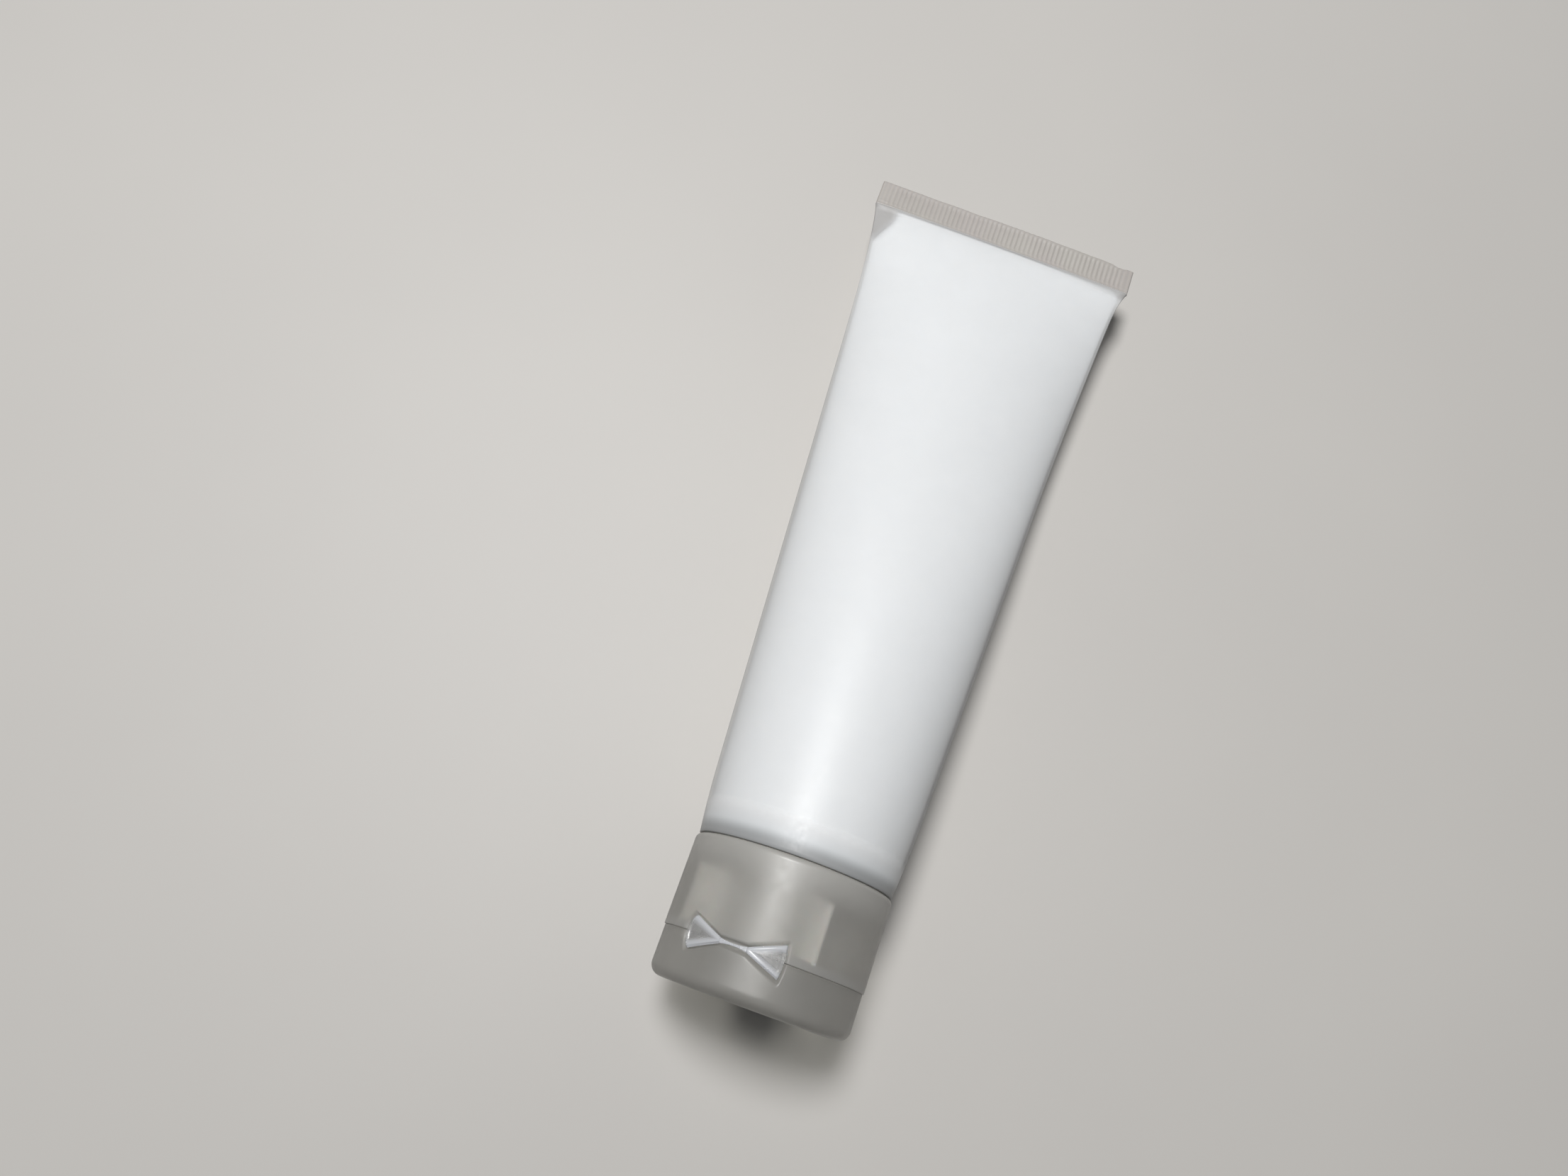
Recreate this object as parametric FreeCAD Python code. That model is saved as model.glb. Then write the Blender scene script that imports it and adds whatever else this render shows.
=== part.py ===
import FreeCAD, Part
import math
import os

# Shaving cream tube: a crimped plastic sleeve full of cream, with a screw-on flip-top cap.
#
# The tube lies on its side. X runs across it, Y along it from the cap (-Y) to the crimp (+Y), Z up.
# The origin is on the surface it lies on, under the middle of its box. Lengths are in millimetres.
#
# The head and the cap are drawn upright in their own frame, with its z axis out of the tube through
# the cap and its z = 0 on the shoulder. place() lays them down, and place_cap() also turns the cap.

V = FreeCAD.Vector

# ---- driving dimensions -------------------------------------------------------------------------
tube_diameter = 35.0
total_length = 162.0
cap_height = 23.6             # lid and base together, on the tube's axis
lid_height = 8.1
crimp_length = 6.0            # the welded band across the tail
crimp_height = 12.5           # height of the band above the surface
wall = 0.5                    # film thickness of the sleeve
cap_turn = 22.0               # the lid's hinge sits this many degrees from the top, towards -X
pitch = 3.0                   # of the screw thread

# ---- sleeve ---------------------------------------------------------------------------------------
tube_radius = tube_diameter / 2
belly_flat = 0.35                                 # how far its weight squashes the belly
shoulder_lift = 0.05                              # the stiff cap end stands this far off the surface
axis_height = tube_radius + shoulder_lift
crimp_half_width = math.pi * tube_radius / 2      # a flattened circle is this wide
crimp_thickness = 2 * wall
shoulder_gap = 0.4                                # between the shoulder and the rim of the cap
lid_end_y = -total_length / 2
shoulder_y = lid_end_y + cap_height + shoulder_gap
crimp_end_y = total_length / 2
crimp_start_y = crimp_end_y - crimp_length
straight_spread = 0.85                            # share of the widening that is an even taper
flare_power = 16                                  # the rest comes in the last stretch
belly_end = 0.55                                  # the belly lies on the surface this far back
section_steps = (0.0, 0.08, 0.2, 0.35, 0.5, 0.65, 0.78, 0.88, 0.95, 1.0)
cavity_end = 0.99                                 # the film meets here, just short of the band
tooth_count = 54
tooth_depth = 0.22
tooth_plain_edge = 0.9                            # smooth strip at each side of the band
bead_length = 0.5                                 # two low beads cross the foot of the band
bead_rise = 0.14
bead_spacing = 1.1

# ---- cream ----------------------------------------------------------------------------------------
cream_gap = 0.3
cream_end = 0.975
left_void = (4.2, 8.0)                            # width and length of the empty corners
right_void = (2.0, 4.5)

# ---- head -----------------------------------------------------------------------------------------
weld_gap = 0.05
flange_radius = tube_radius - wall - weld_gap
flange_length = 2.5
flange_taper = 0.3
shoulder_rise = 1.5                               # of the cone from the rim to the neck
shoulder_thickness = 1.2
neck_radius = 7.5
neck_bore_radius = 5.5
neck_end = 13.9

# ---- cap base -------------------------------------------------------------------------------------
base_radius = tube_radius - 0.05
base_wall = 1.6
base_bottom = shoulder_gap
parting = cap_height + shoulder_gap - lid_height  # plane where the lid meets the base
parting_gap = 0.15
deck_thickness = 1.2
deck_top = parting - parting_gap / 2
deck_underside = deck_top - deck_thickness
seat_ring_radius = 15.2
seat_ring_height = 0.8
seat_ring_wall = 1.0
rim_round = 0.7
collar_length = 11.0
collar_bottom = deck_underside - collar_length
collar_inner_radius = 8.8
collar_outer_radius = 9.9
rib_count = 4                                     # the first stands half a step from the hinge
rib_thickness = 0.8
fused_in = 0.5                                    # the deck and the ribs are let into the skirt this far
fused_up = 0.2                                    # the ribs and the seat ring into the deck

# ---- thread ---------------------------------------------------------------------------------------
thread_root_width = 1.3
thread_crest_width = 0.6
thread_height = 1.0
thread_root_sink = 0.25                           # how far a thread's foot is let into its wall
thread_clearance = 0.35                           # from the collar's thread to the neck
thread_start = 5.5
thread_end = thread_start + 2 * pitch             # two turns on the neck, and two in the collar

# ---- spout ----------------------------------------------------------------------------------------
spout_height = 4.2
spout_tip_radius = 2.6
spout_foot_radius = 4.5
spout_bore_radius = 1.6
spout_clearance = 0.1
spout_flange_radius = 6.5
spout_flange_thickness = 0.5
spout_flange_gap = 0.05                           # between the flange and the deck above it
spout_tip_chamfer = (0.3, 0.4)                    # across and along
spout_foot_rise = 1.2                             # of the cone from the deck to the nozzle
seal_outer_radius = 5.2
seal_inner_radius = 4.3
seal_depth = 1.6
seal_taper = 0.2

# ---- lid ------------------------------------------------------------------------------------------
lid_radius = base_radius - 0.2
lid_wall = 1.6
lid_bottom = parting + parting_gap / 2
lid_top = parting + lid_height
lid_roof_thickness = 1.3
lid_edge_round = 2.0
plug_pin_radius = 1.3
plug_pin_reach = 1.3                              # how far the pin enters the spout
plug_pin_chamfer = (0.3, 0.5)
plug_ring_inner_radius = 3.5
plug_ring_outer_radius = 4.3
plug_ring_end = parting + 1.7
thumb_width = 11.0
thumb_depth = 0.9
thumb_height = 2.4

# ---- butterfly hinge, seen flat: x along the hinge line, height from the parting plane -------------
hinge_radius = base_radius - 0.05
hinge_inner_radius = hinge_radius - 0.8
pocket_floor_radius = hinge_inner_radius - 0.15
waist_half_width = 2.35
waist_half_height = 0.45
wing_half_width = 7.75
wing_half_height = 2.65
wing_bulge = 1.1                                  # the wing's outer edge is an arc this far out
hinge_slot = 0.25                                 # open slot round each wing's outer edge
hinge_groove = 0.15                               # groove along each wing's folding edges
film_gap = 0.05                                   # from the middle of the cut between film and wing
film_thickness = 0.35
hinge_reach = 5.0                                 # taller than anything of the hinge


# ---- helpers --------------------------------------------------------------------------------------
def write(shape, name):
    """Export one finished solid or group of solids under its node name."""
    shape.exportStep(os.path.join("parts", name + ".step"))
    print(name, "valid", shape.isValid(), "solids", len(shape.Solids), "volume", round(shape.Volume, 1))


def place(shape):
    """Lay an upright shape down with its axis along the tube."""
    laid = shape.copy()
    laid.rotate(V(0, 0, 0), V(1, 0, 0), 90)
    laid.translate(V(0, shoulder_y, axis_height))
    return laid


def place_cap(shape):
    """Turn a piece of the cap about the tube's axis, then lay it down."""
    turned_piece = shape.copy()
    turned_piece.rotate(V(0, 0, 0), V(0, 0, 1), cap_turn)
    return place(turned_piece)


def turned(outline):
    """Solid of revolution about z. The outline is a list of (radius, height) corners."""
    corners = [V(radius, 0, height) for radius, height in outline]
    wire = Part.makePolygon(corners + corners[:1])
    return Part.Face(wire).revolve(V(0, 0, 0), V(0, 0, 1), 360)


def ring(inner, outer, bottom, top):
    """A plain round ring."""
    return turned([(inner, bottom), (outer, bottom), (outer, top), (inner, top)])


def disc(radius, bottom, top):
    """A plain round disc."""
    return Part.makeCylinder(radius, top - bottom, V(0, 0, bottom))


def round_edge(shape, radius, height, size):
    """Round the circular edge of the given radius and height."""
    edges = [edge for edge in shape.Edges
             if hasattr(edge.Curve, "Radius")
             and abs(edge.Curve.Radius - radius) < 0.01
             and abs(edge.BoundBox.ZMin - height) < 0.01
             and abs(edge.BoundBox.ZMax - height) < 0.01]
    return shape.makeFillet(size, edges)


def thread(wall_radius, crest_radius):
    """One helical ridge that stands out of a round wall, inwards or outwards."""
    side = 1 if crest_radius > wall_radius else -1
    foot_radius = wall_radius - side * thread_root_sink
    helix = Part.makeHelix(pitch, thread_end - thread_start, foot_radius)
    foot = thread_root_width / 2
    crest = thread_crest_width / 2
    corners = [V(foot_radius, 0, -foot), V(crest_radius, 0, -crest),
               V(crest_radius, 0, crest), V(foot_radius, 0, foot)]
    profile = Part.makePolygon(corners + corners[:1])
    ridge = Part.Wire(helix).makePipeShell([profile], True, True)
    ridge.translate(V(0, 0, thread_start))
    return ridge


# ---- the sleeve's cross-sections ------------------------------------------------------------------
def half_width(t):
    """Half the sleeve's width, t of the way from the shoulder to the crimp."""
    spread = crimp_half_width - tube_radius
    return tube_radius + spread * (straight_spread * t + (1 - straight_spread) * t ** flare_power)


def half_height(t):
    """Half the sleeve's height: full for most of its length, then closing on the flat crimp."""
    flat = crimp_thickness / 2
    return flat + (tube_radius - flat) * (1 - t ** 1.3) ** 0.6


def centre_height(t):
    """Height of the section's middle. The belly sinks into the surface, where it is cut flat, and
    the tail lifts off."""
    along = min(t / belly_end, 1.0)
    sink = belly_flat * 4 * along * (1 - along)
    lift = max(0.0, (t - belly_end) / (1 - belly_end))
    rise = (crimp_height - crimp_thickness / 2 - shoulder_lift) * lift ** 2
    return half_height(t) + shoulder_lift - sink + rise


def section(t, inset, y_shift=0.0):
    """Closed oval wire across the tube, pulled in from the outer skin by inset."""
    across = half_width(t) - inset
    up = max(half_height(t) - inset, 0.05)
    oval = Part.Ellipse(V(0, 0, 0), across, min(up, across)).toShape()
    oval.rotate(V(0, 0, 0), V(1, 0, 0), 90)
    y = shoulder_y + t * (crimp_start_y - shoulder_y) + y_shift
    oval.translate(V(0, y, centre_height(t)))
    return Part.Wire(oval)


def sleeve_body(inset, end, start_shift=0.0):
    """Smooth solid through the sections from the shoulder to the given end, flat underneath."""
    steps = [t for t in section_steps if t < end - 0.02] + [end]
    sections = [section(t, inset) for t in steps]
    if start_shift:
        sections[0] = section(0.0, inset, start_shift)
    under = Part.makeBox(4 * tube_radius, 2 * total_length, 10)
    under.translate(V(-2 * tube_radius, -total_length, inset - 10))
    return Part.makeLoft(sections, True, False).cut(under)


# ---- pieces ---------------------------------------------------------------------------------------
def make_crimp():
    """Flat welded band with serrated faces and two beads across its foot."""
    serrated = 2 * (crimp_half_width - tooth_plain_edge)
    tooth = serrated / tooth_count
    top = crimp_thickness / 2
    upper = [(-crimp_half_width, top)]
    for index in range(tooth_count):
        left = -serrated / 2 + index * tooth
        upper += [(left, top), (left + tooth / 2, top - tooth_depth)]
    upper += [(serrated / 2, top), (crimp_half_width, top)]
    lower = [(x, -z) for x, z in reversed(upper)]
    corners = [V(x, crimp_start_y, crimp_height + z) for x, z in upper + lower]
    band = Part.Face(Part.makePolygon(corners + corners[:1])).extrude(V(0, crimp_length, 0))
    for index in range(2):
        bead = Part.makeBox(2 * crimp_half_width, bead_length, crimp_thickness + 2 * bead_rise)
        bead.translate(V(-crimp_half_width, crimp_start_y + index * bead_spacing,
                         crimp_height - crimp_thickness / 2 - bead_rise))
        band = band.fuse(bead)
    return band


def make_sleeve():
    """The film tube, open at the shoulder and welded flat at the tail."""
    outside = sleeve_body(0.0, 1.0)
    cavity = sleeve_body(wall, cavity_end, -1.0)
    return outside.cut(cavity).fuse(make_crimp())


def make_cream():
    """The cream that fills the sleeve and the neck, short of the crimp and its corners."""
    inset = wall + cream_gap
    fill = sleeve_body(inset, cream_end)
    front = Part.makeBox(2 * tube_diameter, 100, 2 * tube_diameter)
    front.translate(V(-tube_diameter, shoulder_y + flange_length + cream_gap - 100, -tube_radius))
    fill = fill.cut(front)
    for side, (width, length) in ((-1, left_void), (1, right_void)):
        edge = side * crimp_half_width
        corners = [V(edge, crimp_start_y - length, 0), V(edge, crimp_start_y, 0),
                   V(edge - side * width, crimp_start_y, 0)]
        fill = fill.cut(Part.Face(Part.makePolygon(corners + corners[:1])).extrude(V(0, 0, 40)))
    below_flange = -flange_length - cream_gap
    under_shoulder = flange_radius - shoulder_thickness - flange_taper / 2 - cream_gap
    in_neck = neck_bore_radius - cream_gap
    neck_fill_end = neck_end - seal_depth - 0.5
    plug = turned([
        (0, below_flange),
        (under_shoulder, below_flange),
        (under_shoulder, -shoulder_thickness - cream_gap),
        (in_neck, shoulder_rise - shoulder_thickness - cream_gap),
        (in_neck, neck_fill_end),
        (0, neck_fill_end),
    ])
    return fill.fuse(place(plug))


def make_head():
    """Shoulder disc with a threaded neck, welded into the sleeve's end."""
    inner_rim = flange_radius - shoulder_thickness
    outline = [
        (flange_radius, 0.0),
        (neck_radius, shoulder_rise),
        (neck_radius, neck_end),
        (neck_bore_radius, neck_end),
        (neck_bore_radius, shoulder_rise - shoulder_thickness),
        (inner_rim, -shoulder_thickness),
        (inner_rim - flange_taper / 2, -flange_length),
        (flange_radius - flange_taper, -flange_length),
    ]
    head = turned(outline)
    ridge = thread(neck_radius, neck_radius + thread_height)
    return place(head.fuse(ridge))


def make_cap_base():
    """Skirt, deck and inner ribs of the cap, with the lower half of the hinge pocket."""
    inner = base_radius - base_wall
    skirt = ring(inner, base_radius, base_bottom, deck_top)
    skirt = round_edge(skirt, base_radius, base_bottom, rim_round)
    deck = ring(spout_foot_radius + spout_clearance, inner + fused_in, deck_underside, deck_top)
    seat = ring(seat_ring_radius - seat_ring_wall, seat_ring_radius,
                deck_top - fused_up, deck_top + seat_ring_height)
    base = skirt.fuse([deck, seat])
    for index in range(rib_count):
        rib = Part.makeBox(rib_thickness, inner + fused_in - collar_outer_radius, collar_length + fused_up)
        rib.translate(V(-rib_thickness / 2, collar_outer_radius, collar_bottom))
        rib.rotate(V(0, 0, 0), V(0, 0, 1), (index + 0.5) * 360 / rib_count)
        base = base.fuse(rib)
    return base.cut(hinge_pocket()).removeSplitter()


def make_thread_collar():
    """Threaded socket that hangs from the deck and takes the neck. Half a turn sets its thread
    between the neck's threads."""
    collar = ring(collar_inner_radius, collar_outer_radius, collar_bottom, deck_underside)
    ridge = thread(collar_inner_radius, neck_radius + thread_clearance)
    ridge.rotate(V(0, 0, 0), V(0, 0, 1), 180)
    return collar.fuse(ridge)


def make_spout():
    """Nozzle through the deck, with the seal that plugs into the neck."""
    tip = deck_top + spout_height
    flange_top = deck_underside - spout_flange_gap
    flange_bottom = flange_top - spout_flange_thickness
    seal_bottom = flange_bottom - seal_depth
    outline = [
        (spout_bore_radius, tip),
        (spout_tip_radius - spout_tip_chamfer[0], tip),
        (spout_tip_radius, tip - spout_tip_chamfer[1]),
        (spout_tip_radius, deck_top + spout_foot_rise),
        (spout_foot_radius, deck_top),
        (spout_foot_radius, flange_top),
        (spout_flange_radius, flange_top),
        (spout_flange_radius, flange_bottom),
        (seal_outer_radius, flange_bottom),
        (seal_outer_radius - seal_taper, seal_bottom),
        (seal_inner_radius, seal_bottom),
        (seal_inner_radius, flange_bottom),
        (spout_bore_radius, deck_underside),
    ]
    return turned(outline)


def make_lid():
    """Flip-top lid, with the upper half of the hinge pocket and a thumb recess."""
    inner = lid_radius - lid_wall
    shell = disc(lid_radius, lid_bottom, lid_top)
    shell = round_edge(shell, lid_radius, lid_top, lid_edge_round)
    hollow = disc(inner, lid_bottom - 1, lid_top - lid_roof_thickness)
    hollow = round_edge(hollow, inner, lid_top - lid_roof_thickness, lid_edge_round / 2)
    scoop_radius = (thumb_width ** 2 / 4 + thumb_depth ** 2) / (2 * thumb_depth)
    scoop = Part.makeCylinder(scoop_radius, thumb_height, V(0, -lid_radius + thumb_depth - scoop_radius,
                                                            lid_bottom))
    return shell.cut(hollow).cut(scoop).cut(hinge_pocket())


def make_lid_plug():
    """Pin that closes the spout and the ring round it, under the lid's roof."""
    roof = lid_top - lid_roof_thickness
    pin_end = deck_top + spout_height - plug_pin_reach
    pin = turned([
        (0, roof),
        (plug_pin_radius, roof),
        (plug_pin_radius, pin_end + plug_pin_chamfer[1]),
        (plug_pin_radius - plug_pin_chamfer[0], pin_end),
        (0, pin_end),
    ])
    guard = ring(plug_ring_inner_radius, plug_ring_outer_radius, plug_ring_end, roof)
    return Part.makeCompound([pin, guard])


def flat_outline(side, grow, bulge_grow):
    """Closed outline of one wing, standing in the plane y = 0 and grown for its clearances."""
    waist = waist_half_height + grow
    tall = wing_half_height + grow
    wide = wing_half_width + bulge_grow
    lower_waist = V(side * waist_half_width, 0, parting - waist)
    lower_tip = V(side * wide, 0, parting - tall)
    upper_tip = V(side * wide, 0, parting + tall)
    upper_waist = V(side * waist_half_width, 0, parting + waist)
    bulge = V(side * (wide + wing_bulge), 0, parting)
    return Part.Wire([
        Part.makeLine(lower_waist, lower_tip),
        Part.Arc(lower_tip, bulge, upper_tip).toShape(),
        Part.makeLine(upper_tip, upper_waist),
        Part.makeLine(upper_waist, lower_waist),
    ])


def through_wall(wire):
    """Prism through the hinge side of the cap's wall from a flat outline."""
    return Part.Face(wire).extrude(V(0, 2 * base_radius, 0))


def hinge_pocket():
    """Room for the hinge in the cap's skin: two wings and the waist between them."""
    waist = waist_half_height + hinge_groove
    middle = Part.makeBox(2 * waist_half_width, 2 * base_radius, 2 * waist)
    middle.translate(V(-waist_half_width, 0, parting - waist))
    room = middle
    for side in (-1, 1):
        room = room.fuse(through_wall(flat_outline(side, hinge_groove, hinge_slot)))
    core = disc(pocket_floor_radius, parting - hinge_reach, parting + hinge_reach)
    return room.cut(core)


def make_hinge_strap(side):
    """One wing of the butterfly hinge, curved with the cap."""
    skin = ring(hinge_inner_radius, hinge_radius, parting - hinge_reach, parting + hinge_reach)
    wing = through_wall(flat_outline(side, 0.0, 0.0)).common(skin)
    trim = Part.makeBox(2 * film_gap, 2 * base_radius, 2 * hinge_reach)
    trim.translate(V(side * (waist_half_width + film_gap) - film_gap, 0, parting - hinge_reach))
    return wing.cut(trim)


def make_hinge_film():
    """Thin web between the wings that the lid turns on."""
    skin = ring(hinge_radius - film_thickness, hinge_radius, parting - hinge_reach, parting + hinge_reach)
    half_length = waist_half_width - film_gap
    web = Part.makeBox(2 * half_length, 2 * base_radius, 2 * waist_half_height)
    web.translate(V(-half_length, 0, parting - waist_half_height))
    return web.common(skin)


def main():
    """Build and write every piece."""
    os.makedirs("parts", exist_ok=True)
    write(make_sleeve(), "tube_sleeve")
    write(make_head(), "tube_head")
    write(make_cream(), "cream_fill")
    write(place_cap(make_spout()), "spout")
    write(place_cap(make_cap_base()), "cap_base")
    write(place_cap(make_thread_collar()), "thread_collar")
    write(place_cap(make_lid()), "cap_lid")
    write(place_cap(make_lid_plug()), "lid_plug")
    write(place_cap(make_hinge_film()), "hinge_film")
    write(place_cap(make_hinge_strap(-1)), "hinge_strap_left")
    write(place_cap(make_hinge_strap(1)), "hinge_strap_right")


main()
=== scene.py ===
import math

import bmesh
import bpy
from mathutils import Matrix, Vector, noise


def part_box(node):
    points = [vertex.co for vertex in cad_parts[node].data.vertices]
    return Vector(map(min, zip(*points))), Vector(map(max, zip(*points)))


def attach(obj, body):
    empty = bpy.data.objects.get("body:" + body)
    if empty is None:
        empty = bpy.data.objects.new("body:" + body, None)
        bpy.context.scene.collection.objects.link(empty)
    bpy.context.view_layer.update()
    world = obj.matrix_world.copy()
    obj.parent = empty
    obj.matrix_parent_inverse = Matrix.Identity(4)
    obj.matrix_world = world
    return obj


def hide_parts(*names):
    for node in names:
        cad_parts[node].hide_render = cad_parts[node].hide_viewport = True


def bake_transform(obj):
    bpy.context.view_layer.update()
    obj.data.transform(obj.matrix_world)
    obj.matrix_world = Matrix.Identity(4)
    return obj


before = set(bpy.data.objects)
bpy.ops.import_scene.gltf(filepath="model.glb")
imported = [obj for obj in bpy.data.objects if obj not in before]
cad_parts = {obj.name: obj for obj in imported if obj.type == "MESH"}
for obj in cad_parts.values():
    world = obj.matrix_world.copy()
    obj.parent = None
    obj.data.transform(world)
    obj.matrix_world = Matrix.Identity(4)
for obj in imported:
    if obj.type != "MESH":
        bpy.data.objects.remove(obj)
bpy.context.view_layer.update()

# A full squeeze tube of shaving cream. It lies on a pale floor with its flip-top cap towards -Y and
# its welded tail towards +Y. Sizes are in millimetres. Points are multiplied by MM, to be in metres.
#
# Places on the cap are given as a radius, an angle from the lid's hinge and a height, which is the
# distance from the tube's shoulder towards the lid's end.
MM = 0.001

# ---- sizes taken from the frame -------------------------------------------------------------------
sleeve_low, sleeve_high = (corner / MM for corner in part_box("tube_sleeve"))
base_low, base_high = (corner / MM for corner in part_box("cap_base"))
lid_low, lid_high = (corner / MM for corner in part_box("cap_lid"))
axis_height = (base_low.z + base_high.z) / 2
base_radius = (base_high.x - base_low.x) / 2
lid_radius = (lid_high.x - lid_low.x) / 2
shoulder_y = sleeve_low.y
tail_y = sleeve_high.y
tail_half_width = (sleeve_high.x - sleeve_low.x) / 2
tube_radius = 2 * tail_half_width / math.pi       # a tube pressed flat is half its circumference wide
shoulder_lift = axis_height - tube_radius
lid_setback = 0.075                               # the CAD lid starts this far beyond the parting plane
parting = shoulder_y - lid_high.y - lid_setback
lid_top = shoulder_y - lid_low.y

# ---- sleeve ---------------------------------------------------------------------------------------
band_length = 6.0
band_start_y = tail_y - band_length
band_height = 12.5                                # of the band's middle above the floor
wall = 0.5                                        # half the band's thickness
band_power = 0.1                                  # shapes the band's section, which is nearly flat
band_wave = 0.18                                  # how far the band undulates
belly_end = 0.55                                  # share of the body where the tail starts to rise
belly_flat = 0.35                                 # how far the belly sinks
taper_start = 1.3                                 # powers that shape the body's thinning to the tail
taper_end = 0.6
dent_depth = 0.07
tooth_count = 54
tooth_depth = 0.17
tooth_plain_edge = 0.9
points_per_tooth = 6
points_for_edges = 12                             # in half a ring, beside the teeth
beads = ((0.3, 0.17, 0.2), (1.15, 0.03, 0.25))    # place past the band's foot, height and width
cut_margin = 0.14                                 # the cut edge wanders this far from the tail's end
nick_depth = 0.22                                 # the cut edge is torn between these two places
nick_start_x = 22.5
nick_end_x = 26.2
film = 0.4                                        # the skin's thickness along the body
rim_chamfer = 0.1                                 # of the skin's edges at the shoulder
rim_narrowing = 0.4                               # the film draws in where it is welded to the shoulder
rim_narrowing_length = 12.0
flare_share = 0.15                                # part of the widening that comes at the very end
left_flare = 16                                   # power of that last flare; more is more sudden
right_flare = 42
first_row = 0.12                                  # the first full ring's distance from the shoulder

# ---- cream ----------------------------------------------------------------------------------------
cream_gap = 0.08
cream_start = 2.5                                 # behind the shoulder
cream_stop = 0.75                                 # short of the welded band
left_void_width = 3.9
left_void_length = 10.0
right_void_width = 1.3
right_void_length = 3.0
meniscus_width = 1.8                              # the cream's edge rounds off over this width
full_meniscus_void = 0.6                          # beside an empty corner at least this wide
neck_cream_radius = 5.2
neck_cream_top = 11.9
neck_cream_foot_radius = 14.5
neck_cream_foot = -2.6                            # heights below 0 are inside the sleeve
neck_cream_cone = -1.5

# ---- cap ------------------------------------------------------------------------------------------
cap_turn = math.radians(22)
base_wall = 1.6
base_bottom = 0.08
seam = 0.06                                       # hairline gap between the lid and the base
deck_top = parting - seam / 2
deck_underside = deck_top - 1.2
collar_outer_radius = 9.9
collar_bottom = deck_underside - 11.0
seat_ring_radius = 15.2
seat_ring_wall = 1.0
seat_ring_height = 0.8
deck_hole_radius = 4.6
lid_wall = 1.6
lid_bottom = parting + seam / 2
lid_roof = lid_top - 1.3
carve_margin = 0.3                                # carving leaves this much of a wall's inside alone
scoop_depth = 0.9                                 # thumb recess in the lid's edge
scoop_half_width = 5.5
rib_count = 4                                     # the first stands half a step from the hinge
rib_thickness = 0.8
rib_gap = 0.01

# ---- butterfly hinge, seen flat: x along the hinge line, height from the parting plane ---------------
hinge_radius = 17.4
hinge_inner_radius = 16.6
pocket_floor_radius = 16.45
waist_half_width = 2.35
waist_half_height = 0.45
wing_half_width = 7.75
wing_half_height = 2.65
left_bulge = 1.1                                  # how far each wing's outer edge curves out
right_bulge = 0.25
pocket_gap = 0.16
pocket_slope = 0.25
lid_pocket_ramp = 0.45                            # the lid's pocket slopes out this far at its +x end
pocket_reach = math.radians(40)                   # the pocket lies within this angle of the hinge
pocket_zone = 4.5                                 # and within this height of the parting plane
strap_gap = 0.02                                  # between the film at the waist and each strap
strap_groove = 0.36                               # how deep a strap's panel lies below its bands
web_slimness = 0.42                               # height of the waist's middle, as a share of its ends'
web_depth = 0.2                                   # of the web's middle below the hinge's face


# ---- helpers --------------------------------------------------------------------------------------
def smoothstep(low, high, value):
    """Share from 0 at low to 1 at high, easing in and out."""
    share = min(1.0, max(0.0, (value - low) / (high - low)))
    return share * share * (3 - 2 * share)


def blend_values(start, end, share):
    """Value that is a share of the way from start to end."""
    return start + (end - start) * share


def ripple(x, y, scale, seed):
    """Smooth wander between about -1 and 1, the same on every run."""
    return noise.noise(Vector((x * scale, y * scale, seed)))


def cap_point(radius, angle, height):
    """Point of the cap, in metres."""
    around = angle - cap_turn
    return Vector((
        radius * math.sin(around),
        shoulder_y - height,
        axis_height + radius * math.cos(around),
    )) * MM


def spaced(start, *stretches):
    """Values from start up to, but without, the last end. Each stretch is an end and a spacing."""
    values = []
    for end, spacing in stretches:
        count = max(1, round((end - start) / spacing))
        values += [start + (end - start) * index / count for index in range(count)]
        start = end
    return values


def grid_faces(rows, columns, wrap_rows=False, wrap_columns=True):
    """Quads between neighbouring rows of points that were added row by row."""
    faces = []
    for row in range(rows if wrap_rows else rows - 1):
        below = row * columns
        above = (row + 1) % rows * columns
        for column in range(columns if wrap_columns else columns - 1):
            beside = (column + 1) % columns
            faces.append((below + column, below + beside, above + beside, above + column))
    return faces


def rounded(corners, closed=True, steps=5):
    """Outline with every corner (radius, height, rounding) turned into an arc with a support point
    beyond each end, so that flat stretches stay flat when shaded smoothly."""
    support = 0.12                                # at most this far from the arc
    outline = []
    count = len(corners)
    for index, (radius, height, size) in enumerate(corners):
        here = Vector((radius, height))
        if not closed and index in (0, count - 1):
            outline.append(here)
            continue
        before = Vector(corners[index - 1][:2]) - here
        after = Vector(corners[(index + 1) % count][:2]) - here
        half = before.angle(after) / 2
        reach = size / math.tan(half)
        centre = here + (before.normalized() + after.normalized()).normalized() * size / math.sin(half)
        start = here + before.normalized() * reach - centre
        end = here + after.normalized() * reach - centre
        outline.append(centre + start + before.normalized() * min(support, before.length * 0.2))
        for step in range(steps + 1):
            outline.append(centre + start.slerp(end, step / steps).normalized() * size)
        outline.append(centre + end + after.normalized() * min(support, after.length * 0.2))
    return outline


def divided(outline, closed=True):
    """Outline with long stretches divided, finely where the hinge's pocket is."""
    points = []
    count = len(outline)
    for index in range(count):
        here = outline[index]
        points.append(here)
        if not closed and index == count - 1:
            break
        there = outline[(index + 1) % count]
        from_parting = min(abs(here.y - parting), abs(there.y - parting))
        near_pocket = max(here.x, there.x) > pocket_floor_radius and from_parting < pocket_zone
        spacing = 0.2 if near_pocket else 2.0
        cuts = int((there - here).length / spacing)
        points += [here.lerp(there, (cut + 1) / (cuts + 1)) for cut in range(cuts)]
    return points


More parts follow.
